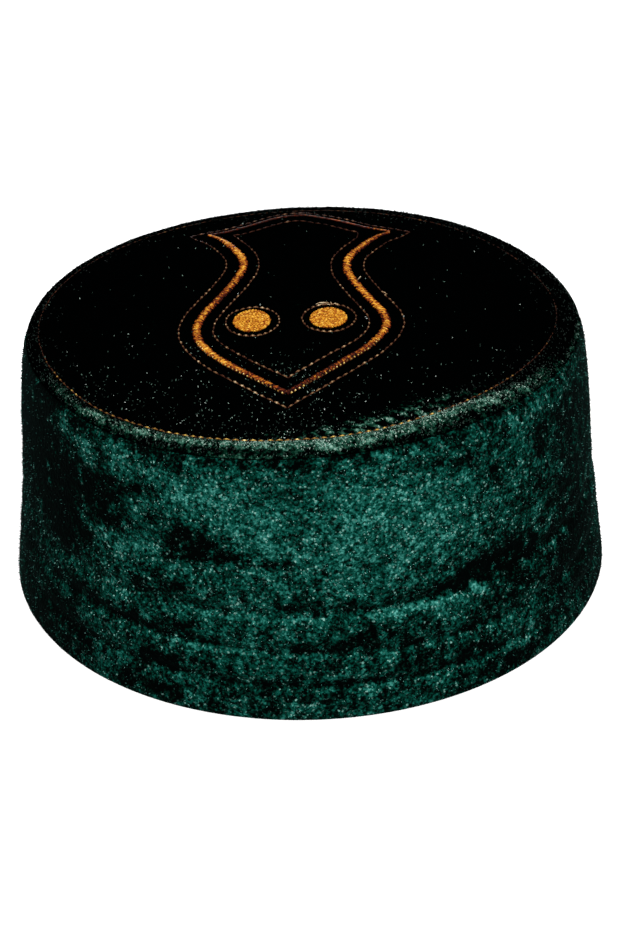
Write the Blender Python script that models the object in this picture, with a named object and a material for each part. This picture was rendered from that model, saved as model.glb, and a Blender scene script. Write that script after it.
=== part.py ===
# A round velvet skullcap: a tall quilted side band under a nearly flat crown.
# Metres, +Z up. The cap stands on its hem at z = 0, and its front faces -Y.
# Azimuths are degrees anticlockwise from +X, so the front is at -90.

import math

import bmesh
import bpy

# Driving dimensions
HEM_RADIUS = 0.0973
RIM_HEIGHT = 0.0865
CROWN_RISE = 0.0020
BAND_WALL = 0.0030
CROWN_WALL = 0.0026
SEAM_DROP = 0.0036
PIECE_GAP = 0.0003
SEGMENTS = 72

# Sizes that follow from them
BAND_TOP = RIM_HEIGHT - SEAM_DROP
CROWN_UNDERSIDE = BAND_TOP + PIECE_GAP
SEAM_RADIUS = 0.890 * HEM_RADIUS
BAND_TOP_RADIUS = 0.887 * HEM_RADIUS
BAND_TOP_INSIDE = BAND_TOP_RADIUS - BAND_WALL

# The band's outside, from the hem to the seam: share of its height, share of the hem radius
BAND_PROFILE = (
    (0.00, 1.000),
    (0.10, 0.990),
    (0.31, 0.965),
    (0.52, 0.943),
    (0.73, 0.930),
    (0.93, 0.909),
    (0.98, 0.899),
    (1.00, 0.887),
)
HEM_ROUNDING = 0.0010

# Rings of the band: rows above the quilting, where they end, the rolled top edge, the inside
UPPER_ROWS = 9
UPPER_END = 0.955
TOP_EDGE_SHARES = (0.985, 1.0)
INSIDE_SHARES = (1.0, 0.90, 0.80, 0.71, 0.62, 0.53, 0.45, 0.36, 0.18, 0.0)
ROW_STEPS = (-2.2, -1.0, 0.0, 1.0, 2.2)

# Quilting round the band, sewn through the padding
# Height of the row, its fall from the left side to the right, depth, half width
QUILT_ROWS = (
    (0.0344, -0.0006, 0.0010, 0.0017),
    (0.0219, 0.0060, 0.0010, 0.0017),
    (0.0112, 0.0038, 0.0008, 0.0015),
)

# Places where the band is pressed in: azimuth, height, half span in degrees, half reach, depth
BAND_DENTS = (
    (-50.0, 0.0390, 9.0, 0.0032, 0.0013),
    (-110.0, 0.0520, 9.0, 0.0050, 0.0009),
    (-141.0, 0.0600, 12.0, 0.0100, 0.0011),
    (-95.0, 0.0700, 16.0, 0.0080, 0.0004),
    (-20.0, 0.0620, 8.0, 0.0060, 0.0005),
    (40.0, 0.0480, 14.0, 0.0060, 0.0008),
    (95.0, 0.0580, 18.0, 0.0090, 0.0008),
    (150.0, 0.0450, 12.0, 0.0060, 0.0009),
)

# Where the rim sags or stands up: azimuth, half span in degrees, rise
RIM_WAVES = (
    (-122.0, 22.0, -0.0018),
    (-48.0, 25.0, 0.0014),
    (12.0, 16.0, -0.0008),
    (50.0, 25.0, 0.0004),
    (125.0, 35.0, -0.0009),
)

# The row of topstitching that holds the seam allowance down, a circle a little off centre
TOPSTITCH_CENTRE = (-0.0022, -0.0003)
TOPSTITCH_RADIUS = 0.0803
TOPSTITCH_DEPTH = 0.0006
TOPSTITCH_HALF_WIDTH = 0.0014
# Where that row wanders from its circle: azimuth, half span in degrees, distance outwards
TOPSTITCH_WANDER = (
    (-76.0, 9.0, 0.0009),
    (-134.0, 6.0, 0.0005),
    (0.0, 14.0, 0.0012),
)
BORDER_PUFF = 0.0003
EDGE_DROP = 0.0029
EDGE_ROLL = 2.2

# Rings of the crown: shares of the topstitched circle, then shares of the way on to the seam
CROWN_SHARES = (0.22, 0.44, 0.63, 0.79, 0.91, 0.966, 0.984, 1.0)
BORDER_SHARES = (0.18, 0.40, 0.66, 0.86, 1.0)
UNDERSIDE_SHARES = (1.0, 0.93, 0.86, 0.57, 0.28)

CROWN_COLOUR = (0.005, 0.012, 0.010, 1.0)
BAND_COLOUR = (0.006, 0.062, 0.055, 1.0)


def clear_scene():
    for item in list(bpy.data.objects):
        bpy.data.objects.remove(item, do_unlink=True)


def smooth_step(low, high, value):
    share = min(max((value - low) / (high - low), 0.0), 1.0)
    return share * share * (3.0 - 2.0 * share)


def curve_through(table, position):
    """Read a smooth curve through a table of (position, value) rows."""
    last = len(table) - 1
    index = 0
    while index < last - 1 and position > table[index + 1][0]:
        index += 1
    start, end = table[index], table[index + 1]
    before = table[max(index - 1, 0)]
    after = table[min(index + 2, last)]
    run = end[0] - start[0]
    start_slope = (end[1] - before[1]) / (end[0] - before[0]) * run
    end_slope = (after[1] - start[1]) / (after[0] - start[0]) * run
    t = (position - start[0]) / run
    return (
        (2 * t**3 - 3 * t**2 + 1) * start[1]
        + (t**3 - 2 * t**2 + t) * start_slope
        + (3 * t**2 - 2 * t**3) * end[1]
        + (t**3 - t**2) * end_slope
    )


def turn_between(azimuth, other):
    """The shorter turn between two azimuths, in degrees."""
    return (azimuth - other + 180.0) % 360.0 - 180.0


def bell(offset, half_width):
    return math.exp(-0.5 * (offset / half_width) ** 2)


def rim_rise(azimuth):
    """How far the cloth of the rim stands above or below its level here."""
    return sum(rise * bell(turn_between(azimuth, middle), half_span)
               for middle, half_span, rise in RIM_WAVES)


def quilt_height(row, azimuth):
    """Height of a quilting row, which runs a little downhill from left to right."""
    height, fall = row[0], row[1]
    return height - 0.5 * fall * math.cos(math.radians(azimuth))


def quilt_depth(height, azimuth):
    return sum(row[2] * bell(height - quilt_height(row, azimuth), row[3]) for row in QUILT_ROWS)


def dent_depth(height, azimuth):
    return sum(depth * bell(turn_between(azimuth, middle), half_span) * bell(height - level, reach)
               for middle, level, half_span, reach, depth in BAND_DENTS)


def band_cloth_radius(height, azimuth):
    """Outside of the padded cloth, with its dents but without its quilting."""
    radius = HEM_RADIUS * curve_through(BAND_PROFILE, height / BAND_TOP)
    return radius - dent_depth(height, azimuth)


def band_outside(height, azimuth):
    radius = band_cloth_radius(height, azimuth) - quilt_depth(height, azimuth)
    if height < HEM_ROUNDING:
        radius -= 0.6 * HEM_ROUNDING * (1.0 - height / HEM_ROUNDING) ** 2
    return radius


def band_inside(height, azimuth):
    return band_cloth_radius(height, azimuth) - BAND_WALL


def band_point(radius, height, azimuth):
    """A point of the band, whose upper half follows the rim up and down."""
    angle = math.radians(azimuth)
    lift = rim_rise(azimuth) * smooth_step(0.45 * BAND_TOP, BAND_TOP, height)
    return (radius * math.cos(angle), radius * math.sin(angle), height + lift)


def band_row_heights(azimuth):
    """Heights of the outside rings here: close together at each quilting row."""
    top_row, middle_row, low_row = (quilt_height(row, azimuth) for row in QUILT_ROWS)
    steps = [QUILT_ROWS[0][3] * step for step in ROW_STEPS]
    heights = [0.0, 0.4 * HEM_ROUNDING, HEM_ROUNDING, 0.5 * (low_row + steps[0])]
    heights += [low_row + step for step in steps]
    heights.append(0.5 * (low_row + middle_row))
    heights += [middle_row + step for step in steps]
    heights.append(0.5 * (middle_row + top_row))
    heights += [top_row + step for step in steps]
    start = heights[-1]
    end = UPPER_END * BAND_TOP
    heights += [start + (end - start) * row / UPPER_ROWS for row in range(1, UPPER_ROWS + 1)]
    heights += [share * BAND_TOP for share in TOP_EDGE_SHARES]
    return heights


def band_section(azimuth):
    """The closed section of the band at one azimuth, from the hem up and back down inside."""
    section = [band_point(band_outside(height, azimuth), height, azimuth)
               for height in band_row_heights(azimuth)]
    for share in INSIDE_SHARES:
        height = share * BAND_TOP
        section.append(band_point(band_inside(height, azimuth), height, azimuth))
    return section


def dome_height(radius):
    """The crown's own curve, flat where it lies over the band."""
    return CROWN_RISE * (1.0 - min(radius / BAND_TOP_INSIDE, 1.0) ** 3)


def crown_point(x, y, level):
    """A point of the crown at a level above or below the rim, with its dome and the rim's waves."""
    radius = math.hypot(x, y)
    azimuth = math.degrees(math.atan2(y, x))
    lift = rim_rise(azimuth) * smooth_step(0.55 * SEAM_RADIUS, 0.94 * SEAM_RADIUS, radius)
    return (x, y, level + dome_height(radius) + lift)


def topstitch_radius(azimuth):
    """Radius of the topstitched row about its own centre."""
    return TOPSTITCH_RADIUS + sum(shift * bell(turn_between(azimuth, middle), half_span)
                                  for middle, half_span, shift in TOPSTITCH_WANDER)


def topstitch_point(azimuth, share=1.0):
    angle = math.radians(azimuth)
    x = share * (TOPSTITCH_CENTRE[0] + topstitch_radius(azimuth) * math.cos(angle))
    y = share * (TOPSTITCH_CENTRE[1] + topstitch_radius(azimuth) * math.sin(angle))
    return x, y


def border_point(azimuth, share):
    """A point between the topstitching, share 0, and the seam, share 1."""
    angle = math.radians(azimuth)
    x, y = topstitch_point(azimuth)
    x += share * (SEAM_RADIUS * math.cos(angle) - x)
    y += share * (SEAM_RADIUS * math.sin(angle) - y)
    return x, y


def topstitch_dip(x, y):
    across = x - TOPSTITCH_CENTRE[0]
    along = y - TOPSTITCH_CENTRE[1]
    azimuth = math.degrees(math.atan2(along, across))
    distance = math.hypot(across, along) - topstitch_radius(azimuth)
    return TOPSTITCH_DEPTH * bell(distance, TOPSTITCH_HALF_WIDTH)


def underside_level(share):
    """The crown's underside: thickened by the seam allowance where it lies on the band."""
    thin = RIM_HEIGHT - CROWN_WALL
    return thin + (CROWN_UNDERSIDE - thin) * smooth_step(0.86, 1.0, share)


def crown_section(azimuth):
    """The crown's section at one azimuth, from its middle out to the seam and back underneath."""
    section = []
    for share in CROWN_SHARES:
        x, y = topstitch_point(azimuth, share)
        section.append(crown_point(x, y, RIM_HEIGHT - topstitch_dip(x, y)))
    for share in BORDER_SHARES:
        x, y = border_point(azimuth, share)
        puff = BORDER_PUFF * math.sin(math.pi * share)
        drop = EDGE_DROP * share**EDGE_ROLL
        section.append(crown_point(x, y, RIM_HEIGHT - topstitch_dip(x, y) + puff - drop))
    angle = math.radians(azimuth)
    section.append(crown_point(BAND_TOP_RADIUS * math.cos(angle), BAND_TOP_RADIUS * math.sin(angle),
                               CROWN_UNDERSIDE))
    for share in UNDERSIDE_SHARES:
        x = share * BAND_TOP_INSIDE * math.cos(angle)
        y = share * BAND_TOP_INSIDE * math.sin(angle)
        section.append(crown_point(x, y, underside_level(share)))
    return section


def azimuths():
    return [360.0 * step / SEGMENTS for step in range(SEGMENTS)]


def add_sections(mesh, sections):
    return [[mesh.verts.new(point) for point in section] for section in sections]


def join_sections(mesh, sections, closed):
    """Skin neighbouring sections with quads, round the whole turn."""
    length = len(sections[0])
    steps = length if closed else length - 1
    for index, section in enumerate(sections):
        following = sections[(index + 1) % len(sections)]
        for step in range(steps):
            after = (step + 1) % length
            mesh.faces.new((section[step], following[step], following[after], section[after]))


def cap_ends(mesh, sections, place, middle):
    """Close the ring of sections at one end with a fan to its middle."""
    centre = mesh.verts.new(middle)
    for index, section in enumerate(sections):
        following = sections[(index + 1) % len(sections)]
        mesh.faces.new((section[place], following[place], centre))


def make_object(name, mesh, material):
    bmesh.ops.recalc_face_normals(mesh, faces=mesh.faces[:])
    data = bpy.data.meshes.new(name)
    mesh.to_mesh(data)
    mesh.free()
    data.materials.append(material)
    data.shade_smooth()
    data.set_sharp_from_angle(angle=math.radians(50.0))
    item = bpy.data.objects.new(name, data)
    bpy.context.scene.collection.objects.link(item)
    return item


def cloth_material(name, colour, roughness, sheen):
    material = bpy.data.materials.new(name)
    material.use_nodes = True
    shader = material.node_tree.nodes["Principled BSDF"]
    shader.inputs["Base Color"].default_value = colour
    shader.inputs["Roughness"].default_value = roughness
    shader.inputs["Metallic"].default_value = 0.0
    shader.inputs["Sheen Weight"].default_value = sheen
    return material


def make_side_band():
    mesh = bmesh.new()
    sections = add_sections(mesh, [band_section(azimuth) for azimuth in azimuths()])
    join_sections(mesh, sections, closed=True)
    return make_object("side_band", mesh, cloth_material("band_velvet", BAND_COLOUR, 0.85, 0.6))


def make_crown():
    mesh = bmesh.new()
    sections = add_sections(mesh, [crown_section(azimuth) for azimuth in azimuths()])
    join_sections(mesh, sections, closed=False)
    cap_ends(mesh, sections, 0, crown_point(0.0, 0.0, RIM_HEIGHT))
    cap_ends(mesh, sections, -1, crown_point(0.0, 0.0, underside_level(0.0)))
    return make_object("crown", mesh, cloth_material("crown_velvet", CROWN_COLOUR, 0.9, 0.3))


clear_scene()
make_side_band()
make_crown()
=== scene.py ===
import functools
import math
import random

import bpy
from mathutils import Matrix, Vector, noise


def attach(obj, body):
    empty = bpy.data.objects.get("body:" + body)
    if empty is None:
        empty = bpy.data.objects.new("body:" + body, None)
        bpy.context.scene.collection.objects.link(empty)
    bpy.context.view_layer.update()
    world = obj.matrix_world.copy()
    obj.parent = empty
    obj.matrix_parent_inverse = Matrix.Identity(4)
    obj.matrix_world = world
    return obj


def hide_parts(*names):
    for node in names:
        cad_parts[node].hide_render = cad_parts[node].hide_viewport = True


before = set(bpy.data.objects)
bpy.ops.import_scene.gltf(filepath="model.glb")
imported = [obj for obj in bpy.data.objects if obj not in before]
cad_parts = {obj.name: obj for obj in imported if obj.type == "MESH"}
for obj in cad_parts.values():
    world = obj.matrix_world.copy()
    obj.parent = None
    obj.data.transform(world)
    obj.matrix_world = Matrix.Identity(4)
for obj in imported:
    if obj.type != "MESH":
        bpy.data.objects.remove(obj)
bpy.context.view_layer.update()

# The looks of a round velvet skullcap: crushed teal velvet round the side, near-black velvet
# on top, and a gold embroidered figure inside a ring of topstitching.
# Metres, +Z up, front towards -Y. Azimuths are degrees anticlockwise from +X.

MM = 0.001

# The cap's shape, as its solids have it
HEM_RADIUS = 97.3 * MM
RIM_HEIGHT = 86.5 * MM
CROWN_RISE = 2.0 * MM
BAND_WALL = 3.0 * MM
CROWN_WALL = 2.6 * MM
SEAM_DROP = 3.6 * MM
PIECE_GAP = 0.3 * MM
BAND_TOP = RIM_HEIGHT - SEAM_DROP
CROWN_UNDERSIDE = BAND_TOP + PIECE_GAP
SEAM_RADIUS = 0.890 * HEM_RADIUS
BAND_TOP_RADIUS = 0.887 * HEM_RADIUS
BAND_TOP_INSIDE = BAND_TOP_RADIUS - BAND_WALL
HEM_ROUNDING = 1.0 * MM

# The band's outside, from the hem to the seam: share of its height, share of the hem radius
BAND_PROFILE = (
    (0.00, 1.000),
    (0.10, 0.990),
    (0.31, 0.965),
    (0.52, 0.943),
    (0.73, 0.930),
    (0.93, 0.909),
    (0.98, 0.899),
    (1.00, 0.887),
)

# Quilting rows: height in mm, fall from left to right in mm, depth in mm, half width in mm
QUILT_ROWS = (
    (34.4, -0.6, 1, 1.7),
    (21.9, 6, 1, 1.7),
    (11.2, 3.8, 0.8, 1.5),
)

# Places where the band is pressed in: azimuth, height in mm, half span, half reach in mm, depth in mm
BAND_DENTS = (
    (-50, 39, 9, 3.2, 1.3),
    (-110, 52, 9, 5, 0.9),
    (-141, 60, 12, 10, 1.1),
    (-95, 70, 16, 8, 0.4),
    (-20, 62, 8, 6, 0.5),
    (40, 48, 14, 6, 0.8),
    (95, 58, 18, 9, 0.8),
    (150, 45, 12, 6, 0.9),
)

# Where the rim sags or stands up: azimuth, half span, rise in mm
RIM_WAVES = (
    (-122, 22, -1.8),
    (-48, 25, 1.4),
    (12, 16, -0.8),
    (50, 25, 0.4),
    (125, 35, -0.9),
)

# The topstitched ring near the crown's edge
TOPSTITCH_CENTRE = (-2.2 * MM, -0.3 * MM)
TOPSTITCH_RADIUS = 80.3 * MM
TOPSTITCH_DEPTH = 0.6 * MM
TOPSTITCH_HALF_WIDTH = 1.4 * MM
# Where it wanders from its circle: azimuth, half span, distance outwards in mm
TOPSTITCH_WANDER = (
    (-76, 9, 0.9),
    (-134, 6, 0.5),
    (0, 14, 1.2),
)
BORDER_PUFF = 0.3 * MM
EDGE_DROP = 2.9 * MM
EDGE_ROLL = 2.2

# Crushed patches of the band's nap, with painted light: azimuth, height in mm, half span, half reach in
# mm, strength.
# Below zero the pile lies away from the light and the patch is painted dark. The broad bright patches
# round the front are a painted pool of light, and the thin bright ones along the quilting rows are painted
# highlights.
NAP_AND_LIGHT_PATCHES = (
    (-147, 60, 6.5, 8, -1.4), (-132, 63, 3.4, 4, -1.1), (-142, 45, 4.5, 4.5, -0.9),
    (-158, 66, 9, 14, -0.6), (-141.5, 77.5, 2.4, 3.6, 0.66), (-134, 74.5, 2.4, 3, 0.66),
    (-112, 70.5, 3, 2, 0.2), (-73, 69, 16, 2.2, 0.06), (-127, 78, 2.4, 3, 0.3),
    (-138, 79, 1.2, 3, -0.5), (-130.5, 76, 1, 3, -0.45), (-121, 67, 6, 8, 0.14),
    (-112, 70, 6, 4, 0.24), (-118.5, 51, 2.6, 4, 0.22), (-127, 57, 3, 5, -0.3),
    (-125.5, 67.5, 1.4, 1.8, -0.7), (-121.5, 69.5, 1.5, 2, -0.7), (-118, 62, 1.4, 1.8, -0.6),
    (-110, 55, 3, 3.6, -1.2), (-102.5, 52.5, 3.5, 1.6, -0.65), (-94, 51, 2.4, 1.2, -0.4),
    (-85.6, 47, 2, 2, -0.4), (-77, 49.5, 3, 1.5, -0.3), (-117.4, 70.5, 2.4, 2, -0.4),
    (-117, 39, 4, 2.5, -0.4), (-91, 37.2, 2.4, 1.8, -0.45), (-83.6, 36.6, 3, 1.6, -0.4),
    (-49.5, 37.4, 5.8, 3, -1.7), (-61.5, 36, 5, 1.5, -1.1), (-65, 45, 3, 2, -0.35),
    (-59, 74.5, 6, 1.8, -0.4), (-50.5, 67, 2.5, 2.5, -0.4), (-37.5, 72.5, 2.5, 2.2, -0.5),
    (-39.5, 66, 1.8, 2.6, -0.6), (-25, 70, 5, 6, -0.45), (-31, 47, 8, 8, -0.3),
    (-24, 27, 8, 7, -0.55), (-133.8, 25.3, 4, 2, -0.5), (-119.5, 24.6, 4.5, 1.6, -0.5),
    (-111.8, 27.2, 3, 1.8, -0.3), (-77, 26.5, 2.5, 1.8, -0.35), (-68, 25.5, 3, 1.8, -0.35),
    (-47, 26, 4, 2.4, -0.45), (-143.6, 15.4, 4, 2.8, -0.6), (-136, 10.5, 4, 1.6, -0.45),
    (-117.4, 16.2, 4, 3, -0.55), (-69.8, 15.4, 4, 2.2, -0.35), (-56.4, 13.6, 4, 2.4, -0.5),
    (-118.5, 4.2, 4, 1.8, -0.45), (-51, 3.5, 6, 2.5, -0.45), (-150, 6, 6, 4, -0.55),
    (-85, 68, 22, 12, 0.22), (-70, 56, 16, 10, 0.2), (-100, 45, 16, 7, 0.08),
    (-67, 32.2, 14, 1.2, 0.36), (-106, 31.5, 12, 1.6, 0.15), (-113, 21.5, 8, 1.3, 0.35),
    (-81, 15, 5, 1.4, 0.3), (-25, 79, 4, 2.6, 0.25),
)

# The embroidered figure: (x, y) in mm down each side, from the horn at the back to the toe
FIGURE_LEFT = (
    (-33.1, 57), (-29.9, 53.6), (-26.5, 48.5), (-23.1, 41.8), (-21, 36.6),
    (-20.1, 31.2), (-20.3, 25), (-23, 14.5), (-26.8, 3.9), (-30.4, -6.3),
    (-31.9, -14.2), (-31.5, -20.9), (-29.1, -27.7), (-24.7, -34.9), (-18.9, -41.5),
    (-11.2, -49), (-2.85, -56.9),
)
FIGURE_RIGHT = (
    (27.8, 55.2), (24.5, 52.8), (21.4, 48.6), (17.7, 42.2), (15.3, 37.2),
    (13.9, 31.4), (14.2, 23.2), (17.1, 13.7), (21.2, 3.2), (24.8, -5.3),
    (26.2, -11.4), (25.9, -16.9), (23.7, -23.5), (19.2, -31.2), (13.4, -38.3),
    (5.8, -47.4), (-2.85, -56.9),
)
FIGURE_HEEL = (
    (-33.3, 57.3), (-26.6, 59.9), (-19, 65.2), (-11, 71.2), (-3, 73.6),
    (4.6, 70.4), (12, 66), (20, 60.3), (27.8, 56.6),
)
SATIN_WIDTH = 2.5 * MM
TOE_WIDTH = 1.6 * MM
HEEL_WIDTH = 0.9 * MM
SATIN_RISE = 0.30 * MM
HEEL_RISE = 0.15 * MM
# How deep the ends of a satin stitch sink
SATIN_SINK = 0.12 * MM
SATIN_SPACING = 0.40 * MM
SATIN_THREAD = 0.23 * MM
# Running lines beside the satin: distance from it in mm, and how much more near the toe
OUTER_LINE = (5.5, 0.3)
INNER_LINE = (-5.1, -1.1)
HEEL_OUTER_LINE = (2.6, 0.0)
# Their corners in mm: left horn, right horn and toe
OUTER_CORNERS = ((-39.8, 57), (35, 56), (-2.5, -65.2))
INNER_CORNERS = ((-25.0, 56.6), (17.2, 56.4), (-2.8, -48.2))
RUNNING_PITCH = 2.9 * MM
RUNNING_THREAD = 0.19 * MM
RUNNING_RISE = 0.40 * MM
# Share of a stitch's length left bare before the next one
RUNNING_GAP = 0.04
BEAD_BULGE = 0.6
RING_PITCH = 2.1 * MM
# Small stitches along the satin's outer edge round the toe
TOE_REACH = -24.0 * MM
TOE_EDGE = 1.15 * MM
TOE_PITCH = 1.6 * MM
TOE_THREAD = 0.95 * RUNNING_THREAD
TOE_RISE = 1.5 * RUNNING_RISE
TOE_GAP = 0.5

# Filled ovals and the stitched ring round each, in mm: centre x and y, half width, half length
OVALS = (
    ("left", -15.2, -11.8, 5.8, 7.2),
    ("right", 8.4, -10.5, 5.8, 6.7),
)
RINGS = (
    ("left", -15, -11.8, 8.35, 9.9),
    ("right", 8.6, -10, 8.35, 9.5),
)
FILL_ROW = 0.50 * MM
FILL_STITCH = 0.95 * MM
FILL_THREAD = 0.27 * MM
FILL_RISE = 0.16 * MM
SHORTEST_FILL = 0.3 * MM
PAD_HEIGHT = 0.40 * MM
# How far the pad stays inside its oval
PAD_INSET = 0.3 * MM

# Loose thread ends: points of (x, y, height over the crown) in mm
LOOSE_ENDS = (
    ((4.2, -0.3, 0), (5.4, 0.2, 0.3), (6.6, 0.4, 0.3), (7.8, 0.4, 0.3), (8.8, 0.2, 0)),
    ((4.8, -1, 0), (6.2, -0.7, 0.3), (7.6, -0.6, 0.3), (8.8, -0.9, 0.1)),
    ((8.7, 0.5, 0.1), (9, -0.2, 0.6), (9.2, -1, 0.7), (9.1, -1.8, 0.4)),
    ((9.6, -0.2, 0.1), (10.4, -0.4, 0.3), (11.1, -0.3, 0.2)),
    ((17.2, 16.8, 0.1), (17.8, 17.6, 0.4), (18.3, 18.5, 0.6), (18.4, 19.3, 0.3)),
    ((24.6, 8.3, 0.1), (25.3, 7.6, 0.3), (26, 7, 0.3), (26.6, 6.2, 0.1)),
)
LOOSE_THREAD = 0.13 * MM

TOPSTITCH_PITCH = 2.5 * MM
TOPSTITCH_THREAD = 0.16 * MM
TOPSTITCH_RISE = 0.42 * MM

# Size of a lit speck of pile
PILE_TIP = 0.52 * MM
# Relief of the pile: slow changes, and random ones from point to point
BAND_RELIEF = 0.30 * MM
BAND_GRAIN = 0.07 * MM
CROWN_RELIEF = 0.16 * MM
CROWN_GRAIN = 0.035 * MM

# How many tufts are tried on the band, along the crown's border and over the crown
BAND_TIPS = 26000
BORDER_TIPS = 18000
STRAY_TIPS = 22000
# Their least and greatest length and radius in mm
BAND_TIP_LENGTH = (0.30, 0.60)
BAND_TIP_RADIUS = (0.12, 0.19)
CROWN_TIP_LENGTH = (0.30, 0.65)
BORDER_TIP_RADIUS = (0.14, 0.25)
STRAY_TIP_RADIUS = (0.12, 0.22)

# How fine the cloth meshes are
BAND_COLUMNS = 620
BAND_ROWS = 104
INSIDE_ROWS = 14
CROWN_COLUMNS = 480
CROWN_RINGS = 74
BORDER_RINGS = 12
UNDERSIDE_RINGS = 12
THREAD_SIDES = 6
PAD_COLUMNS = 48

# The camera, where the photograph was taken from
CAMERA_TURN = 2.3
CAMERA_RISE = 30.56
CAMERA_ROLL = -1.87
CAMERA_DISTANCE = 650.0 * MM
CAMERA_AIM = (0.82 * MM, 0.03 * MM, 29.93 * MM)
CAMERA_LENS = 76.64
CAMERA_SENSOR = 36.0

# The studio: azimuth, rise and softness in degrees and strength of each far-off light
SOFT_LIGHTS = (
    ("key_softbox", -80.0, 42.0, 22.0, 6.2),
    ("back_fill", 95.0, 50.0, 40.0, 1.6),
)
# The low strip light behind the cap, in degrees, metres and watts
STRIP_AZIMUTH = 95.0
STRIP_DISTANCE = 0.9
STRIP_WIDTH = 0.5
STRIP_HEIGHT = 0.055
STRIP_LIFT = 0.5 * STRIP_HEIGHT + 0.002
STRIP_POWER = 3.8
AMBIENT = 0.10
FLOOR_HALF = 12.0
FLOOR_COLOUR = (0.80, 0.80, 0.80, 1.0)


# Shape of the cap


def clamp(value, highest=1.0):
    return min(max(value, 0.0), highest)


def smooth_step(low, high, value):
    share = clamp((value - low) / (high - low))
    return share * share * (3.0 - 2.0 * share)


def curve_through(table, position):
    """Read a smooth curve through a table of (position, value) rows."""
    last = len(table) - 1
    index = 0
    while index < last - 1 and position > table[index + 1][0]:
        index += 1
    start, end = table[index], table[index + 1]
    before = table[max(index - 1, 0)]
    after = table[min(index + 2, last)]
    run = end[0] - start[0]
    start_slope = (end[1] - before[1]) / (end[0] - before[0]) * run
    end_slope = (after[1] - start[1]) / (after[0] - start[0]) * run
    t = (position - start[0]) / run
    return (
        (2 * t**3 - 3 * t**2 + 1) * start[1]
        + (t**3 - 2 * t**2 + t) * start_slope
        + (3 * t**2 - 2 * t**3) * end[1]
        + (t**3 - t**2) * end_slope
    )


def turn_between(azimuth, other):
    """The shorter turn between two azimuths, in degrees."""
    return (azimuth - other + 180.0) % 360.0 - 180.0


def bell(offset, half_width):
    return math.exp(-0.5 * (offset / half_width) ** 2)


def rim_rise(azimuth):
    return MM * sum(rise * bell(turn_between(azimuth, middle), half_span)
                    for middle, half_span, rise in RIM_WAVES)


def quilt_height(row, azimuth):
    return MM * (row[0] - 0.5 * row[1] * math.cos(math.radians(azimuth)))


def quilt_depth(height, azimuth):
    return sum(MM * row[2] * bell(height - quilt_height(row, azimuth), MM * row[3])
               for row in QUILT_ROWS)


def dent_depth(height, azimuth):
    return sum(MM * depth * bell(turn_between(azimuth, middle), half_span)
               * bell(height - MM * level, MM * reach)
               for middle, level, half_span, reach, depth in BAND_DENTS)


def band_cloth_radius(height, azimuth):
    """Outside of the padded cloth, with its dents but without its quilting."""
    radius = HEM_RADIUS * curve_through(BAND_PROFILE, height / BAND_TOP)
    return radius - dent_depth(height, azimuth)


def band_outside(height, azimuth):
    radius = band_cloth_radius(height, azimuth) - quilt_depth(height, azimuth)
    if height < HEM_ROUNDING:
        radius -= 0.6 * HEM_ROUNDING * (1.0 - height / HEM_ROUNDING) ** 2
    return radius


def band_point(radius, height, azimuth):
    angle = math.radians(azimuth)
    lift = rim_rise(azimuth) * smooth_step(0.45 * BAND_TOP, BAND_TOP, height)
    return Vector((radius * math.cos(angle), radius * math.sin(angle), height + lift))


def topstitch_radius(azimuth):
    return TOPSTITCH_RADIUS + MM * sum(shift * bell(turn_between(azimuth, middle), half_span)
                                       for middle, half_span, shift in TOPSTITCH_WANDER)


def topstitch_point(azimuth, share=1.0):
    angle = math.radians(azimuth)
    x = share * (TOPSTITCH_CENTRE[0] + topstitch_radius(azimuth) * math.cos(angle))
    y = share * (TOPSTITCH_CENTRE[1] + topstitch_radius(azimuth) * math.sin(angle))
    return x, y


def border_point(azimuth, share):
    """A point between the topstitching, share 0, and the seam, share 1."""
    angle = math.radians(azimuth)
    x, y = topstitch_point(azimuth)
    x += share * (SEAM_RADIUS * math.cos(angle) - x)
    y += share * (SEAM_RADIUS * math.sin(angle) - y)
    return x, y


def topstitch_distance(x, y):
    """How far outside the topstitched ring a point of the crown lies."""
    across = x - TOPSTITCH_CENTRE[0]
    along = y - TOPSTITCH_CENTRE[1]
    azimuth = math.degrees(math.atan2(along, across))
    return math.hypot(across, along) - topstitch_radius(azimuth)


def topstitch_dip(x, y):
    return TOPSTITCH_DEPTH * bell(topstitch_distance(x, y), TOPSTITCH_HALF_WIDTH)


def crown_point(x, y, level):
    radius = math.hypot(x, y)
    azimuth = math.degrees(math.atan2(y, x))
    dome = CROWN_RISE * (1.0 - min(radius / BAND_TOP_INSIDE, 1.0) ** 3)
    lift = rim_rise(azimuth) * smooth_step(0.55 * SEAM_RADIUS, 0.94 * SEAM_RADIUS, radius)
    return Vector((x, y, level + dome + lift))


def crown_surface(x, y, lift=0.0):
    """A point on top of the crown inside the topstitching, or lift above it."""
    return crown_point(x, y, RIM_HEIGHT - topstitch_dip(x, y) + lift)


def border_lift(share):
    """Height of the border over the rim: share is 0 at the topstitching, 1 at the seam."""
    return BORDER_PUFF * math.sin(math.pi * share) - EDGE_DROP * share**EDGE_ROLL


def underside_level(share):
    thin = RIM_HEIGHT - CROWN_WALL
    return thin + (CROWN_UNDERSIDE - thin) * smooth_step(0.86, 1.0, share)


# Nap of the velvet


def layered_noise(point, size, layers):
    """Smooth noise from about -1 to 1, with features of the given size in metres."""
    total = 0.0
    weight = 1.0
    for layer in range(layers):
        total += weight * noise.noise(point * (2.0**layer / size))
        weight *= 0.55
    return total


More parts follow.
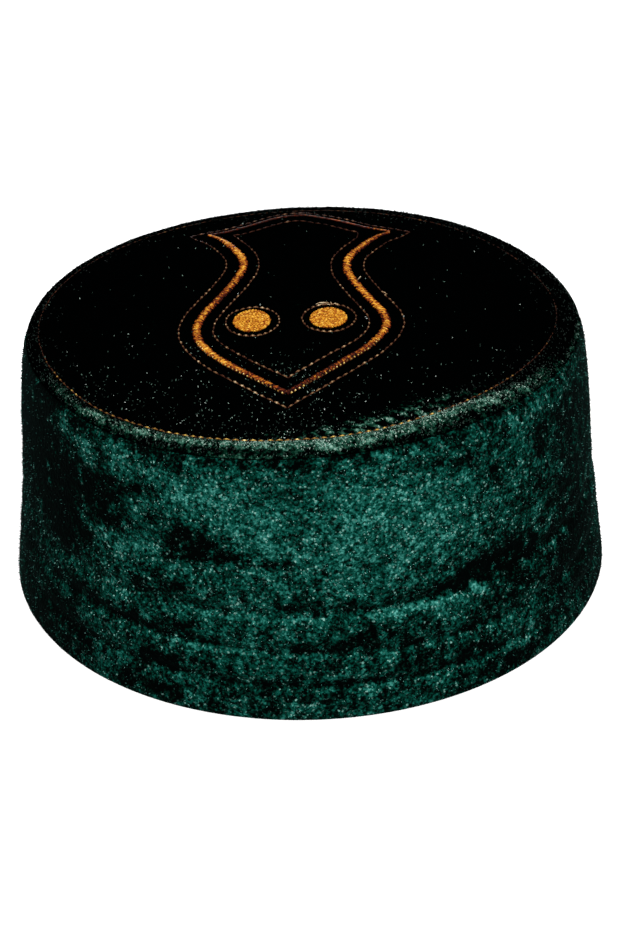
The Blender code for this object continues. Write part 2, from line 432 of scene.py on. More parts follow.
def band_nap_and_light(point, height, azimuth):
    """How brightly the band's pile catches the light here: 0 is black, 1 bright."""
    ragged = layered_noise(point + Vector((0.0, 0.5, 0.2)), 4.5 * MM, 4)
    torn = layered_noise(point + Vector((0.1, 0.2, 0.0)), 2.3 * MM, 2)
    around = turn_between(azimuth, -85.0)
    side = abs(around)
    value = 0.75
    value += 0.18 * layered_noise(point + Vector((0.3, 0.0, 0.1)), 16.0 * MM, 3)
    value += 0.28 * ragged + 0.16 * torn
    for middle, level, half_span, reach, strength in NAP_AND_LIGHT_PATCHES:
        turn = turn_between(azimuth, middle)
        if abs(turn) < 3.0 * half_span:
            patch = bell(turn, half_span) * bell(height - MM * level, MM * reach)
            value += 0.9 * strength * patch * (1.0 - 0.9 * ragged - 0.9 * torn)
    # Painted shade in each quilting row's groove, and a painted highlight just below it.
    for row in QUILT_ROWS:
        above = height - quilt_height(row, azimuth)
        plain = smooth_step(-24.0, -46.0, around) if row is QUILT_ROWS[0] else 0.0
        shade = 0.12 + 0.12 * smooth_step(14.0, 28.0, around) if row is QUILT_ROWS[0] else 0.24
        value -= shade * (1.0 - plain) * bell(above - 0.6 * MM, 0.7 * MM) * (1.0 - 0.9 * ragged)
        value += 0.16 * (1.0 - plain) * bell(above + 1.5 * MM, 0.6 * MM)
    # Painted shade: darker lower down the band.
    value -= 0.08 * smooth_step(34.0 * MM, 18.0 * MM, height)
    # Painted shadow under the crown's rolled edge, along the top of the band.
    edge = smooth_step(BAND_TOP - 4.5 * MM, BAND_TOP, height) * (1.0 - 0.7 * smooth_step(30.0, 50.0, side))
    value -= 0.28 * edge * (1.0 - 0.9 * ragged)
    # Painted shade: darker round the sides, away from the light in front, less so towards the back.
    value -= 0.30 * smooth_step(38.0, 75.0, side) * (1.0 - 0.7 * smooth_step(100.0, 150.0, side))
    crushed = smooth_step(0.0, 0.5, value)
    return clamp(value, 1.3) * (0.6 + 0.4 * crushed)


def stray_density(point, outside):
    """How thickly stray bright fibres lie on the crown: most towards its front left edge."""
    front = smooth_step(-10.0 * MM, -74.0 * MM, point.y)
    left = smooth_step(60.0 * MM, -20.0 * MM, point.x)
    clumps = 0.75 + 0.9 * layered_noise(point, 7.0 * MM, 3)
    inside = smooth_step(2.0 * MM, -1.0 * MM, outside)
    toe = bell(math.hypot(point.x + 3.0 * MM, 0.6 * (point.y + 54.0 * MM)), 8.0 * MM)
    density = 0.22 * front * (0.25 + 0.75 * left) + 0.14 * toe + 0.008
    return inside * density * max(clumps, 0.0)


def crown_nap_and_sheen(point, azimuth, outside):
    """How much the crown's pile catches the light: hardly at all inside the topstitching.

    The bright strip is a painted sheen: it runs along the topstitching in front and drifts out to the seam
    on the right.
    """
    turn = turn_between(azimuth, -88.0)
    # The strip's painted sheen shows only round the front.
    lit_front = smooth_step(-76.0, -46.0, turn) * smooth_step(70.0, 46.0, turn)
    right = smooth_step(28.0, 56.0, turn)
    start = 4.4 * MM * right + 1.5 * MM * smooth_step(-14.0, -40.0, turn)
    width = 0.8 * MM + 3.0 * MM * bell(turn - 14.0, 30.0)
    strip = smooth_step(start - 0.6 * MM, start + 0.8 * MM, outside)
    strip *= smooth_step(start + width + 1.3 * MM, start + width, outside)
    rest = (0.10 + 0.22 * lit_front) * smooth_step(-0.5 * MM, 1.0 * MM, outside)
    rest *= 1.0 - 0.8 * right * smooth_step(start, start - 1.5 * MM, outside)
    ragged = layered_noise(point, 2.6 * MM, 3)
    torn = smooth_step(-0.35, 0.35, layered_noise(point + Vector((0.2, 0.0, 0.0)), 1.8 * MM, 2))
    patch = bell(turn - 18.0, 14.0) * bell(outside + 2.5 * MM, 3.6 * MM) * torn
    seam_line = bell(turn + 10.0, 10.0) * bell(outside - 5.5 * MM, 0.35 * MM)
    rest += 0.35 * smooth_step(4.0 * MM, 6.0 * MM, outside) * bell(turn - 72.0, 20.0)
    # Painted sheen, brightest straight in front.
    bright = 0.50 + 0.68 * bell(turn, 40.0)
    value = strip * lit_front * bright + (1.0 - strip) * rest + 1.25 * patch
    return clamp(value * (1.0 + 0.75 * ragged) + 0.5 * seam_line, 1.1)


# Meshes


def add_object(name, data):
    item = bpy.data.objects.new(name, data)
    bpy.context.scene.collection.objects.link(item)
    return item


def add_mesh(name, points, faces, materials, slots=None, values=None):
    """A new mesh object. slots gives each face's material, values a number for each point."""
    data = bpy.data.meshes.new(name)
    data.from_pydata([tuple(point) for point in points], [], faces)
    for material in materials:
        data.materials.append(material)
    if slots:
        data.polygons.foreach_set("material_index", slots)
    for attribute, numbers in (values or {}).items():
        layer = data.attributes.new(attribute, "FLOAT", "POINT")
        layer.data.foreach_set("value", numbers)
    data.shade_smooth()
    data.update()
    return add_object(name, data)


def ring_faces(columns, rows, closed):
    """Quads between the rings of a grid whose points run round each ring in turn."""
    faces = []
    for row in range(rows if closed else rows - 1):
        above = (row + 1) % rows
        for column in range(columns):
            right = (column + 1) % columns
            faces.append((row * columns + column, row * columns + right,
                          above * columns + right, above * columns + column))
    return faces


def make_band():
    """The side band: displaced velvet outside, plain backing cloth inside."""
    random.seed(11)
    azimuths = [360.0 * column / BAND_COLUMNS for column in range(BAND_COLUMNS)]
    points = []
    naps_and_light = []
    for row in range(BAND_ROWS):
        height = BAND_TOP * row / (BAND_ROWS - 1)
        for azimuth in azimuths:
            point = band_point(band_outside(height, azimuth), height, azimuth)
            # Crushed nap with painted light and shade, which colours and raises the velvet.
            nap_and_light = band_nap_and_light(point, height, azimuth)
            away = Vector((point.x, point.y, 0.0)).normalized()
            edge = smooth_step(0.0, 1.5 * MM, height) * smooth_step(0.0, 1.5 * MM, BAND_TOP - height)
            push = BAND_RELIEF * (nap_and_light - 0.75) + random.uniform(-BAND_GRAIN, BAND_GRAIN)
            points.append(point + away * push * edge)
            naps_and_light.append(nap_and_light)
    for row in range(INSIDE_ROWS):
        height = BAND_TOP * (1.0 - row / (INSIDE_ROWS - 1))
        for azimuth in azimuths:
            radius = band_cloth_radius(height, azimuth) - BAND_WALL
            points.append(band_point(radius, height, azimuth))
            naps_and_light.append(0.0)
    faces = ring_faces(BAND_COLUMNS, BAND_ROWS + INSIDE_ROWS, closed=True)
    velvet_faces = BAND_ROWS * BAND_COLUMNS
    slots = [0] * velvet_faces + [1] * (len(faces) - velvet_faces)
    item = add_mesh("side_band_velvet", points, faces, [band_velvet(), backing_cloth()], slots,
                    {"nap_and_light": naps_and_light})
    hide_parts("side_band")
    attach(item, "root")


def make_crown():
    """The crown: velvet on top and round the border, plain backing cloth underneath."""
    random.seed(12)
    azimuths = [360.0 * column / CROWN_COLUMNS for column in range(CROWN_COLUMNS)]
    points = []
    naps_and_light = []

    def add_velvet(x, y, level, azimuth, outside):
        point = crown_point(x, y, level)
        # Nap with the border's painted sheen.
        nap_and_light = crown_nap_and_sheen(point, azimuth, outside)
        soft = CROWN_RELIEF * layered_noise(point, 9.0 * MM, 3)
        fine = random.uniform(-CROWN_GRAIN, CROWN_GRAIN)
        points.append(point + Vector((0.0, 0.0, soft + fine)))
        naps_and_light.append(nap_and_light - 0.30 * smooth_step(0.3, 0.0, nap_and_light))

    for ring in range(1, CROWN_RINGS + 1):
        share = (ring / CROWN_RINGS) ** 0.8
        for azimuth in azimuths:
            x, y = topstitch_point(azimuth, share)
            level = RIM_HEIGHT - topstitch_dip(x, y)
            add_velvet(x, y, level, azimuth, topstitch_distance(x, y))
    for ring in range(1, BORDER_RINGS + 1):
        share = ring / BORDER_RINGS
        for azimuth in azimuths:
            x, y = border_point(azimuth, share)
            level = RIM_HEIGHT - topstitch_dip(x, y) + border_lift(share)
            add_velvet(x, y, level, azimuth, topstitch_distance(x, y))
    velvet_rings = CROWN_RINGS + BORDER_RINGS
    for ring in range(UNDERSIDE_RINGS):
        share = 1.0 - ring / UNDERSIDE_RINGS
        radius = BAND_TOP_RADIUS if ring == 0 else share * BAND_TOP_INSIDE
        for azimuth in azimuths:
            angle = math.radians(azimuth)
            x, y = radius * math.cos(angle), radius * math.sin(angle)
            points.append(crown_point(x, y, underside_level(share)))
            naps_and_light.append(0.0)
    rows = velvet_rings + UNDERSIDE_RINGS
    faces = ring_faces(CROWN_COLUMNS, rows, closed=False)
    slots = [0] * velvet_rings * CROWN_COLUMNS
    slots += [1] * (len(faces) - len(slots))
    points += [crown_surface(0.0, 0.0), crown_point(0.0, 0.0, underside_level(0.0))]
    naps_and_light += [0.0, 0.0]
    top, bottom = len(points) - 2, len(points) - 1
    last = (rows - 1) * CROWN_COLUMNS
    for column in range(CROWN_COLUMNS):
        right = (column + 1) % CROWN_COLUMNS
        faces.append((right, column, top))
        faces.append((last + column, last + right, bottom))
        slots += [0, 1]
    item = add_mesh("crown_velvet_panel", points, faces, [crown_velvet(), backing_cloth()], slots,
                    {"nap_and_light": naps_and_light})
    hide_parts("crown")
    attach(item, "root")


class Strands:
    """Collects many tufts or short lengths of thread into one mesh, with a tone at each point."""

    def __init__(self):
        self.points = []
        self.faces = []
        self.tones = []

    def add_tuft(self, foot, way, length, radius, tone):
        """A slim three-sided spike with its foot in the cloth."""
        first = len(self.points)
        way = way.normalized()
        side = way.orthogonal().normalized()
        over = way.cross(side)
        start = random.uniform(0.0, 2.0 * math.pi)
        for corner in range(3):
            angle = start + 2.0 * math.pi * corner / 3.0
            around = radius * (math.cos(angle) * side + math.sin(angle) * over)
            self.points.append(foot - 0.5 * radius * way + around)
        self.points.append(foot + length * way)
        self.tones += [clamp(tone)] * 4
        self.faces += [(first, first + 1, first + 3), (first + 1, first + 2, first + 3),
                       (first + 2, first, first + 3), (first + 2, first + 1, first)]

    def add_thread(self, path, radius, tones, bulge=0.0):
        """A length of thread along path, thicker in its middle, pinched where it enters the cloth."""
        first = len(self.points)
        steps = len(path)
        for step, (centre, tone) in enumerate(zip(path, tones)):
            before = path[max(step - 1, 0)]
            after = path[min(step + 1, steps - 1)]
            along = (after - before).normalized()
            side = along.cross(Vector((0.0, 0.0, 1.0))).normalized()
            over = side.cross(along)
            middle = 1.0 - abs(2.0 * step / (steps - 1) - 1.0)
            width = radius * (1.0 + bulge * middle**3) if 0 < step < steps - 1 else 0.35 * radius
            for turn in range(THREAD_SIDES):
                angle = 2.0 * math.pi * turn / THREAD_SIDES
                self.points.append(centre + width * (math.cos(angle) * side + math.sin(angle) * over))
                self.tones.append(clamp(tone))
        last = first + (steps - 1) * THREAD_SIDES
        for low in range(first, last, THREAD_SIDES):
            high = low + THREAD_SIDES
            for turn in range(THREAD_SIDES):
                right = (turn + 1) % THREAD_SIDES
                self.faces.append((low + turn, high + turn, high + right, low + right))
        self.faces.append(tuple(range(first, first + THREAD_SIDES)))
        self.faces.append(tuple(reversed(range(last, last + THREAD_SIDES))))

    def add_pad(self, x, y, half_width, half_length):
        """The low padded dome that an oval's stitches lie on, closed underneath in the pile."""
        first = len(self.points)
        for share, level in ((1.0, -0.9), (1.0, 0.0), (0.85, 0.53), (0.6, 0.8), (0.3, 0.95)):
            for column in range(PAD_COLUMNS):
                turn = 2.0 * math.pi * column / PAD_COLUMNS
                across = x + share * half_width * math.cos(turn)
                along = y + share * half_length * math.sin(turn)
                self.points.append(crown_surface(across, along, PAD_HEIGHT * level))
                self.tones.append(0.50)
        top = len(self.points) - PAD_COLUMNS
        rings = (top - first) // PAD_COLUMNS + 1
        self.faces += [tuple(first + corner for corner in face)
                       for face in ring_faces(PAD_COLUMNS, rings, closed=False)]
        self.faces.append(tuple(range(top, top + PAD_COLUMNS)))
        self.faces.append(tuple(reversed(range(first, first + PAD_COLUMNS))))

    def finish(self, name, material, slot="gold_thread"):
        item = add_mesh(name, self.points, self.faces, [material], values={"tone": self.tones})
        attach(item, "root")


# Pile


def random_way():
    return Vector([random.uniform(-1.0, 1.0) for axis in range(3)])


def make_band_tips():
    """Tips of the band's pile that stand out and sparkle."""
    random.seed(31)
    pile = Strands()
    for tip in range(BAND_TIPS):
        azimuth = random.uniform(-180.0, 180.0)
        height = random.uniform(1.0 * MM, BAND_TOP - 0.3 * MM)
        point = band_point(band_outside(height, azimuth), height, azimuth)
        nap_and_light = band_nap_and_light(point, height, azimuth)
        if random.random() > 0.20 + 0.75 * nap_and_light:
            continue
        away = Vector((point.x, point.y, 0.0)).normalized()
        way = away + 0.7 * random_way()
        way.z = max(way.z, -0.4)
        # Brighter where the nap and its painted light are high.
        tone = random.random() ** 2 * (0.30 + 0.78 * nap_and_light)
        length = random.uniform(*BAND_TIP_LENGTH) * MM
        pile.add_tuft(point, way, length, random.uniform(*BAND_TIP_RADIUS) * MM, tone)
    pile.finish("band_pile_tips", band_tip(), "band_velvet")


def crown_top(x, y):
    """The crown's surface at any place inside its seam."""
    ring = math.hypot(*topstitch_point(math.degrees(math.atan2(y, x))))
    share = clamp((math.hypot(x, y) - ring) / (SEAM_RADIUS - ring))
    return crown_surface(x, y, border_lift(share))


def make_crown_tips():
    """Fuzz along the crown's border, and stray fibres over the rest of it."""
    random.seed(32)
    pile = Strands()
    for tip in range(BORDER_TIPS):
        azimuth = random.uniform(-180.0, 180.0)
        inward = 8.0 if tip % 3 == 0 else 1.0
        share = random.uniform(-inward, 8.0) * MM / TOPSTITCH_RADIUS + 1.0
        x, y = topstitch_point(azimuth, share)
        outside = topstitch_distance(x, y)
        nap_and_light = crown_nap_and_sheen(crown_point(x, y, RIM_HEIGHT), azimuth, outside)
        if math.hypot(x, y) > SEAM_RADIUS - 0.3 * MM or random.random() > 0.10 + 1.2 * nap_and_light:
            continue
        # Brighter where the crown's painted sheen is.
        tone = min(random.random() ** 1.3 * (0.14 + 1.05 * nap_and_light), 0.85)
        add_crown_tip(pile, x, y, tone, BORDER_TIP_RADIUS)
    for tip in range(STRAY_TIPS):
        azimuth = random.uniform(-180.0, 180.0)
        x, y = topstitch_point(azimuth, random.random() ** 0.5)
        density = stray_density(crown_surface(x, y), topstitch_distance(x, y))
        if random.random() < density:
            tone = 0.22 + 0.78 * random.random() ** 2.4
            add_crown_tip(pile, x, y, tone, STRAY_TIP_RADIUS)
    pile.finish("crown_pile_tips", crown_tip(), "crown_velvet")


def add_crown_tip(pile, x, y, tone, radii):
    radius = random.uniform(*radii) * MM
    way = Vector((0.0, 0.0, 0.7)) + 0.8 * random_way()
    way.z = abs(way.z)
    pile.add_tuft(crown_top(x, y), way, random.uniform(*CROWN_TIP_LENGTH) * MM, radius, tone)


# Stitches


def scaled(points):
    """Points given in mm, in metres."""
    return [(MM * x, MM * y) for x, y in points]


def smooth_path(corners, step):
    """Points about step apart on a smooth curve through a list of (x, y) points."""
    fine = []
    for index in range(len(corners) - 1):
        start, end = Vector(corners[index]), Vector(corners[index + 1])
        before = Vector(corners[index - 1]) if index else start * 2.0 - end
        after = Vector(corners[index + 2]) if index + 2 < len(corners) else end * 2.0 - start
        for part in range(24):
            t = part / 24.0
            fine.append(0.5 * (2.0 * start + (end - before) * t
                               + (2.0 * before - 5.0 * start + 4.0 * end - after) * t**2
                               + (3.0 * start - before - 3.0 * end + after) * t**3))
    fine.append(Vector(corners[-1]))
    return even_steps(fine, step)


def even_steps(fine, step):
    """The same line with its points evenly spaced."""
    total = sum((b - a).length for a, b in zip(fine, fine[1:]))
    count = max(2, round(total / step))
    spacing = total / count
    evened = [fine[0].copy()]
    walked = 0.0
    for a, b in zip(fine, fine[1:]):
        length = (b - a).length
        while len(evened) < count and walked + length >= spacing * len(evened):
            share = (spacing * len(evened) - walked) / length
            evened.append(a + (b - a) * share)
        walked += length
    evened.append(fine[-1].copy())
    return evened


def side_normal(path, index):
    """Unit vector to the left of the path's direction."""
    along = path[min(index + 1, len(path) - 1)] - path[max(index - 1, 0)]
    along.normalize()
    return Vector((-along.y, along.x))


def satin_width(point):
    """The satin line narrows towards the toe and to a point at each horn."""
    toe = smooth_step(-58.0 * MM, -36.0 * MM, point.y)
    horn = smooth_step(57.5 * MM, 45.0 * MM, point.y)
    return (TOE_WIDTH + (SATIN_WIDTH - TOE_WIDTH) * toe) * (0.35 + 0.65 * horn)


def sew_satin(thread, corners, width_at, tone_at, rise):
    """Slanting stitches laid side by side across a line, with painted shade where they sink into the pile.
    """
    path = smooth_path(corners, SATIN_SPACING)
    for index, point in enumerate(path):
        across = side_normal(path, index)
        along = Vector((across.y, -across.x))
        half = 0.5 * width_at(point)
        lean = random.uniform(0.2, 0.7) * half
        reach_left = half * random.uniform(0.80, 1.32)
        reach_right = half * random.uniform(0.80, 1.32)
        tone = tone_at(point) + random.uniform(-0.20, 0.16)
        stitch = []
        tones = []
        for share in (-1.0, -0.75, -0.5, -0.2, 0.2, 0.5, 0.75, 1.0):
            reach = share * (reach_left if share < 0 else reach_right)
            flat = point + across * reach + along * lean * share
            height = rise * (1.0 - abs(share) ** 3) - SATIN_SINK * abs(share) ** 4
            stitch.append(crown_surface(flat.x, flat.y, height))
            # Painted shade towards the stitch's ends, where they sink into the pile.
            tones.append(tone - 0.64 * abs(share) ** 2 + random.uniform(-0.30, 0.28))
        thread.add_thread(stitch, SATIN_THREAD * random.uniform(0.88, 1.12), tones)


def sew_running(thread, path_points, pitch, radius, rise, tone_at, gap=RUNNING_GAP):
    """Stitches end to end along a line, each with a painted highlight, a bright bead, where it rises from
    the pile and painted shade where it sinks into it.
    """
    path = even_steps(path_points, pitch)
    for start, end in zip(path, path[1:]):
        run = end - start
        wander = Vector((-run.y, run.x)).normalized() * random.uniform(-0.10, 0.10) * MM
        bead, ground, buried = tone_at(start, run.normalized())
        bead = max(ground, bead + random.uniform(-0.40, 0.20))
        middle = random.uniform(-0.08, 0.08)
        lift = rise * random.uniform(0.75, 1.1) * (1.0 - buried)
        stitch = []
        tones = []
        for share in (0.0, 0.16, 0.36, 0.5, 0.64, 0.84, 1.0):
            place = share + middle * math.sin(math.pi * share)
            flat = start + run * (gap * 0.5 + (1.0 - gap) * place) + wander
            arch = math.sin(math.pi * share) ** 0.7
            height = lift * arch - 0.6 * radius
            stitch.append(crown_surface(flat.x, flat.y, height))
            # Painted shade towards the ends, in the pile, and a painted highlight, the bead, at the top of
            # the arch.
            tones.append(ground * (0.5 + 0.5 * arch) + (bead - ground) * arch**9)
        thread.add_thread(stitch, radius * random.uniform(0.85, 1.1), tones, BEAD_BULGE)


def figure_tone(point):
    """Gold for most of the figure, with painted shade turning it to rust on the right of the toe, at the
    left bend, down the left leg and at the horns, where the stitches turn from the light.
    """
    x, y = point.x / MM, point.y / MM
    right_leg = smooth_step(-5.0, -1.0, x) * smooth_step(-20.0, -36.0, y)
    toe = bell(x + 4.0, 5.0) * smooth_step(-44.0, -52.0, y)
    left_bend = smooth_step(-16.0, -22.0, x) * bell(y - 12.0, 8.0)
    left_leg = smooth_step(-3.0, -6.0, x) * smooth_step(-34.0, -48.0, y)
    horn = smooth_step(50.0, 56.0, y)
    mottle = 0.14 * layered_noise(Vector((point.x, point.y, 0.0)), 6.0 * MM, 2)
    return 0.62 - 0.36 * right_leg - 0.22 * toe - 0.24 * left_bend - 0.14 * left_leg - 0.20 * horn + mottle


def heel_tone(point):
    x = point.x / MM
    return 0.10 + 0.24 * bell(x - 9.0, 3.0) + 0.30 * bell(x - 26.0, 3.5)


def line_tone(point, direction):
    """Tones of the painted highlight (bead) and of the thread in painted shade (ground), and depth:
    brightest round the toe, sunk in the pile at the heel.
    """
    toe = smooth_step(-20.0 * MM, -60.0 * MM, point.y)
    heel = smooth_step(20.0 * MM, 56.0 * MM, point.y)
    bead = 0.61 + 0.17 * toe - 0.36 * heel
    return bead, 0.18 + 0.15 * toe - 0.12 * heel, 0.40 - 0.3 * toe + 0.35 * heel


def ring_tone(point, direction):
    # Painted highlight: stitches that run along x catch the light and are brighter.
    level = abs(direction.x) ** 3
    return 0.57 + 0.22 * level, 0.20 + 0.20 * level, 0.15


def make_satin_outline():
    random.seed(21)
    thread = Strands()
    for corners in (FIGURE_LEFT, FIGURE_RIGHT):
        sew_satin(thread, scaled(corners), satin_width, figure_tone, SATIN_RISE)
    sew_satin(thread, scaled(FIGURE_HEEL), lambda point: HEEL_WIDTH, heel_tone, HEEL_RISE)
    thread.finish("satin_outline", gold_thread())


def make_toe_edging():
    """Small bright stitches along the outer edge of the satin near the toe."""
    random.seed(26)
    thread = Strands()
    for corners, offset in ((FIGURE_LEFT, -TOE_EDGE), (FIGURE_RIGHT, TOE_EDGE)):
        path = smooth_path(scaled(corners), 1.0 * MM)
        edge = [point + side_normal(path, index) * offset
                for index, point in enumerate(path) if point.y < TOE_REACH]
        sew_running(thread, edge, TOE_PITCH, TOE_THREAD, TOE_RISE, toe_tone, TOE_GAP)
    thread.finish("toe_edging", topstitch_thread())


def toe_tone(point, direction):
    # A bright painted highlight bead over darker ground.
    return 0.86, 0.36, 0.1


def parallel_line(corners, distance, side, first, last):
    """A line beside another one, from first to last, where it meets its neighbours."""
    path = smooth_path(corners, 1.0 * MM)
    chord = last - first
    line = [first]
    for index, point in enumerate(path):
        toe = smooth_step(-24.0 * MM, -40.0 * MM, point.y)
        offset = side * MM * (distance[0] + distance[1] * toe)
        shifted = point + side_normal(path, index) * offset
        share = (shifted - first).dot(chord) / chord.length_squared
        if 0.035 < share < 0.965:
            line.append(shifted)
    line.append(last)
    return line


def make_figure_lines():
    """The running stitches that follow the satin outline outside and inside."""
    random.seed(22)
    for name, corners, distance, heel_distance in (
        ("outer_running_line", OUTER_CORNERS, OUTER_LINE, HEEL_OUTER_LINE),
        ("inner_running_line", INNER_CORNERS, INNER_LINE, INNER_LINE),
    ):
        left_horn, right_horn, toe = (Vector(corner) for corner in scaled(corners))
        thread = Strands()
        for line in (
            parallel_line(scaled(FIGURE_LEFT), distance, -1, left_horn, toe),
            parallel_line(scaled(FIGURE_RIGHT), distance, 1, right_horn, toe),
            parallel_line(scaled(FIGURE_HEEL), heel_distance, 1, left_horn, right_horn),
        ):
            sew_running(thread, line, RUNNING_PITCH, RUNNING_THREAD, RUNNING_RISE, line_tone)
        thread.finish(name, line_thread())


def make_rings():
    random.seed(23)
    turns = [math.radians(turn) for turn in range(0, 361, 3)]
    for name, x, y, half_width, half_length in RINGS:
        thread = Strands()
        outline = [MM * Vector((x + half_width * math.cos(turn), y + half_length * math.sin(turn)))
                   for turn in turns]
        sew_running(thread, outline, RING_PITCH, RUNNING_THREAD, RUNNING_RISE, ring_tone)
        thread.finish(name + "_ring", line_thread())


def make_ovals():
    """Ovals filled with rows of short stitches, each row set off from the one before."""
    random.seed(24)
    for name, x, y, half_width, half_length in OVALS:
        thread = Strands()
        thread.add_pad(MM * x, MM * y, MM * half_width - PAD_INSET, MM * half_length - PAD_INSET)
        rows = round(2.0 * MM * half_length / FILL_ROW)
        for row in range(rows):
            across = 2.0 * (row + 0.5) / rows - 1.0
            reach = MM * half_width * (1.0 - across * across) ** 0.5
            row_y = MM * (y + half_length * across)
            start = -reach - FILL_STITCH * random.uniform(0.0, 1.0)
            while start < reach:
                end = start + FILL_STITCH * random.uniform(0.8, 1.2)
                left, right = max(start, -reach), min(end, reach)
                if right - left > SHORTEST_FILL:
                    lay_fill_stitch(thread, MM * x, row_y, left, right, reach)
                start = end
        thread.finish(name + "_oval", gold_thread())


def lay_fill_stitch(thread, x, row_y, left, right, reach):
    peak = random.uniform(0.42, 0.90)
    drift = random.uniform(-0.30, 0.30) * MM
    stitch = []
    tones = []
    for share in (0.0, 0.25, 0.5, 0.75, 1.0):
        along = left + (right - left) * share
        pad = PAD_HEIGHT * (1.0 - (along / (reach + PAD_INSET)) ** 2) ** 0.5
        arch = math.sin(math.pi * share) ** 0.7
        stitch.append(crown_surface(x + along, row_y + drift * (share - 0.5), pad + FILL_RISE * arch))
        # Painted highlight at the top of each stitch's arch.
        tones.append(peak * (0.72 + 0.28 * arch))
    thread.add_thread(stitch, FILL_THREAD * random.uniform(0.95, 1.12), tones)


def make_loose_ends():
    """A few stray thread ends: one lies on top of the right ring, one stands by the satin."""
    random.seed(27)
    thread = Strands()
    for corners in LOOSE_ENDS:
        path = [crown_surface(MM * x, MM * y, MM * lift) for x, y, lift in corners]
        tones = [random.uniform(0.60, 0.95) for point in path]
        thread.add_thread(path, LOOSE_THREAD, tones)
    thread.finish("loose_thread_ends", line_thread())


def make_topstitching():
    random.seed(25)
    thread = Strands()
    ring = [Vector(topstitch_point(azimuth)) for azimuth in range(0, 361, 2)]
    sew_running(thread, ring, TOPSTITCH_PITCH, TOPSTITCH_THREAD, TOPSTITCH_RISE, topstitch_tone)
    thread.finish("crown_topstitching", topstitch_thread())


def topstitch_tone(point, direction):
    """The topstitching lies on the pile at the front and sinks into it elsewhere. Its painted highlights
    are brightest at the front.
    """
    azimuth = math.degrees(math.atan2(point.y, point.x))
    front = bell(turn_between(azimuth, -98.0), 28.0)
    back = smooth_step(50.0, 90.0, abs(turn_between(azimuth, -92.0)))
    bead = 0.43 + 0.44 * front - 0.32 * back
    return bead, 0.06 + 0.36 * front - 0.03 * back, 0.5 - 0.5 * front + 0.45 * back


# Materials


class Look:
    """A material, with short ways to add nodes to it."""

    def __init__(self, name, roughness, specular):
        self.material = bpy.data.materials.new(name)
        self.material.use_nodes = True
        self.tree = self.material.node_tree
        self.shader = self.tree.nodes["Principled BSDF"]
        self.shader.inputs["Roughness"].default_value = roughness
        self.shader.inputs["Specular IOR Level"].default_value = specular

    def feed(self, socket, value):
        """Link another node's output to a socket, or give it a fixed value."""
        if isinstance(value, bpy.types.NodeSocket):
            self.tree.links.new(value, socket)
        else:
            socket.default_value = value

    def add(self, kind, inputs, **settings):
        node = self.tree.nodes.new(kind)
        for name, value in settings.items():
            setattr(node, name, value)
        for name, value in inputs.items():
            self.feed(node.inputs[name], value)
        return node

    def texture(self, kind, size, **inputs):
        """A texture fixed to the object, with features of the given size in metres."""
        place = self.add("ShaderNodeTexCoord", {}).outputs["Object"]
        return self.add(kind, {"Vector": place, "Scale": 1.0 / size, **inputs})

    def noise(self, size, detail, roughness=0.55):
        return self.texture("ShaderNodeTexNoise", size, Detail=detail, Roughness=roughness).outputs["Fac"]

    def cells(self, size):
        """Red and green picked anew for each small cell."""
        colour = self.texture("ShaderNodeTexVoronoi", size).outputs["Color"]
        split = self.add("ShaderNodeSeparateColor", {"Color": colour})
        return split.outputs["Red"], split.outputs["Green"]

    def remap(self, value, low, high, to_low=0.0, to_high=1.0):
        inputs = {"Value": value, "From Min": low, "From Max": high, "To Min": to_low, "To Max": to_high}
        return self.add("ShaderNodeMapRange", inputs, interpolation_type="SMOOTHSTEP").outputs["Result"]

    def maths(self, operation, *values):
        node = self.add("ShaderNodeMath", {}, operation=operation)
        for socket, value in zip(node.inputs, values):
            self.feed(socket, value)
        return node.outputs["Value"]

    def blend(self, amount, first, second):
        inputs = {"Factor": amount, "A": first, "B": second}
        return self.add("ShaderNodeMix", inputs, data_type="RGBA").outputs["Result"]

    def attribute(self, name):
        return self.add("ShaderNodeAttribute", {}, attribute_name=name).outputs["Fac"]

    def ramp(self, value, rows):
        """Colour read from a table of (position, colour) rows."""
        node = self.add("ShaderNodeValToRGB", {"Fac": value})
        stops = node.color_ramp.elements
        while len(stops) < len(rows):
            stops.new(0.5)
        for stop, (place, colour) in zip(stops, rows):
            stop.position = place
            stop.color = (*colour, 1.0)
        return node.outputs["Color"]

    def bump(self, height, distance):
        bump = self.add("ShaderNodeBump", {"Strength": 1.0, "Distance": distance, "Height": height})
        self.feed(self.shader.inputs["Normal"], bump.outputs["Normal"])

    def finish(self, colour):
        self.feed(self.shader.inputs["Base Color"], colour)
        return self.material


def speckled_pile(look, rows, flash_colour, relief):
    """Painted glints: pile tips that catch the light here and there, more and brighter where the nap and
    its painted light are high.
    """
    red, green = look.cells(PILE_TIP)
    fine = look.noise(1.1 * MM, 1.0)
    clump = look.noise(3.2 * MM, 3.0, 0.6)
    value = look.maths("MULTIPLY", red, 0.38)
    value = look.maths("ADD", value, look.remap(fine, 0.28, 0.72, 0.0, 0.34))
    value = look.maths("ADD", value, look.remap(clump, 0.34, 0.66, 0.0, 0.28))
    dark = look.maths("MULTIPLY_ADD", look.attribute("nap_and_light"), -0.62, 0.62)
    lift = look.maths("SUBTRACT", value, dark)
    # Painted glints: the few cells picked by green take the flash colour where the pile is lit.
    flash = look.maths("MULTIPLY", look.remap(green, 0.93, 1.0), look.remap(lift, 0.15, 0.75))
    look.bump(fine, relief)
    return look.finish(look.blend(flash, look.ramp(lift, rows), flash_colour))


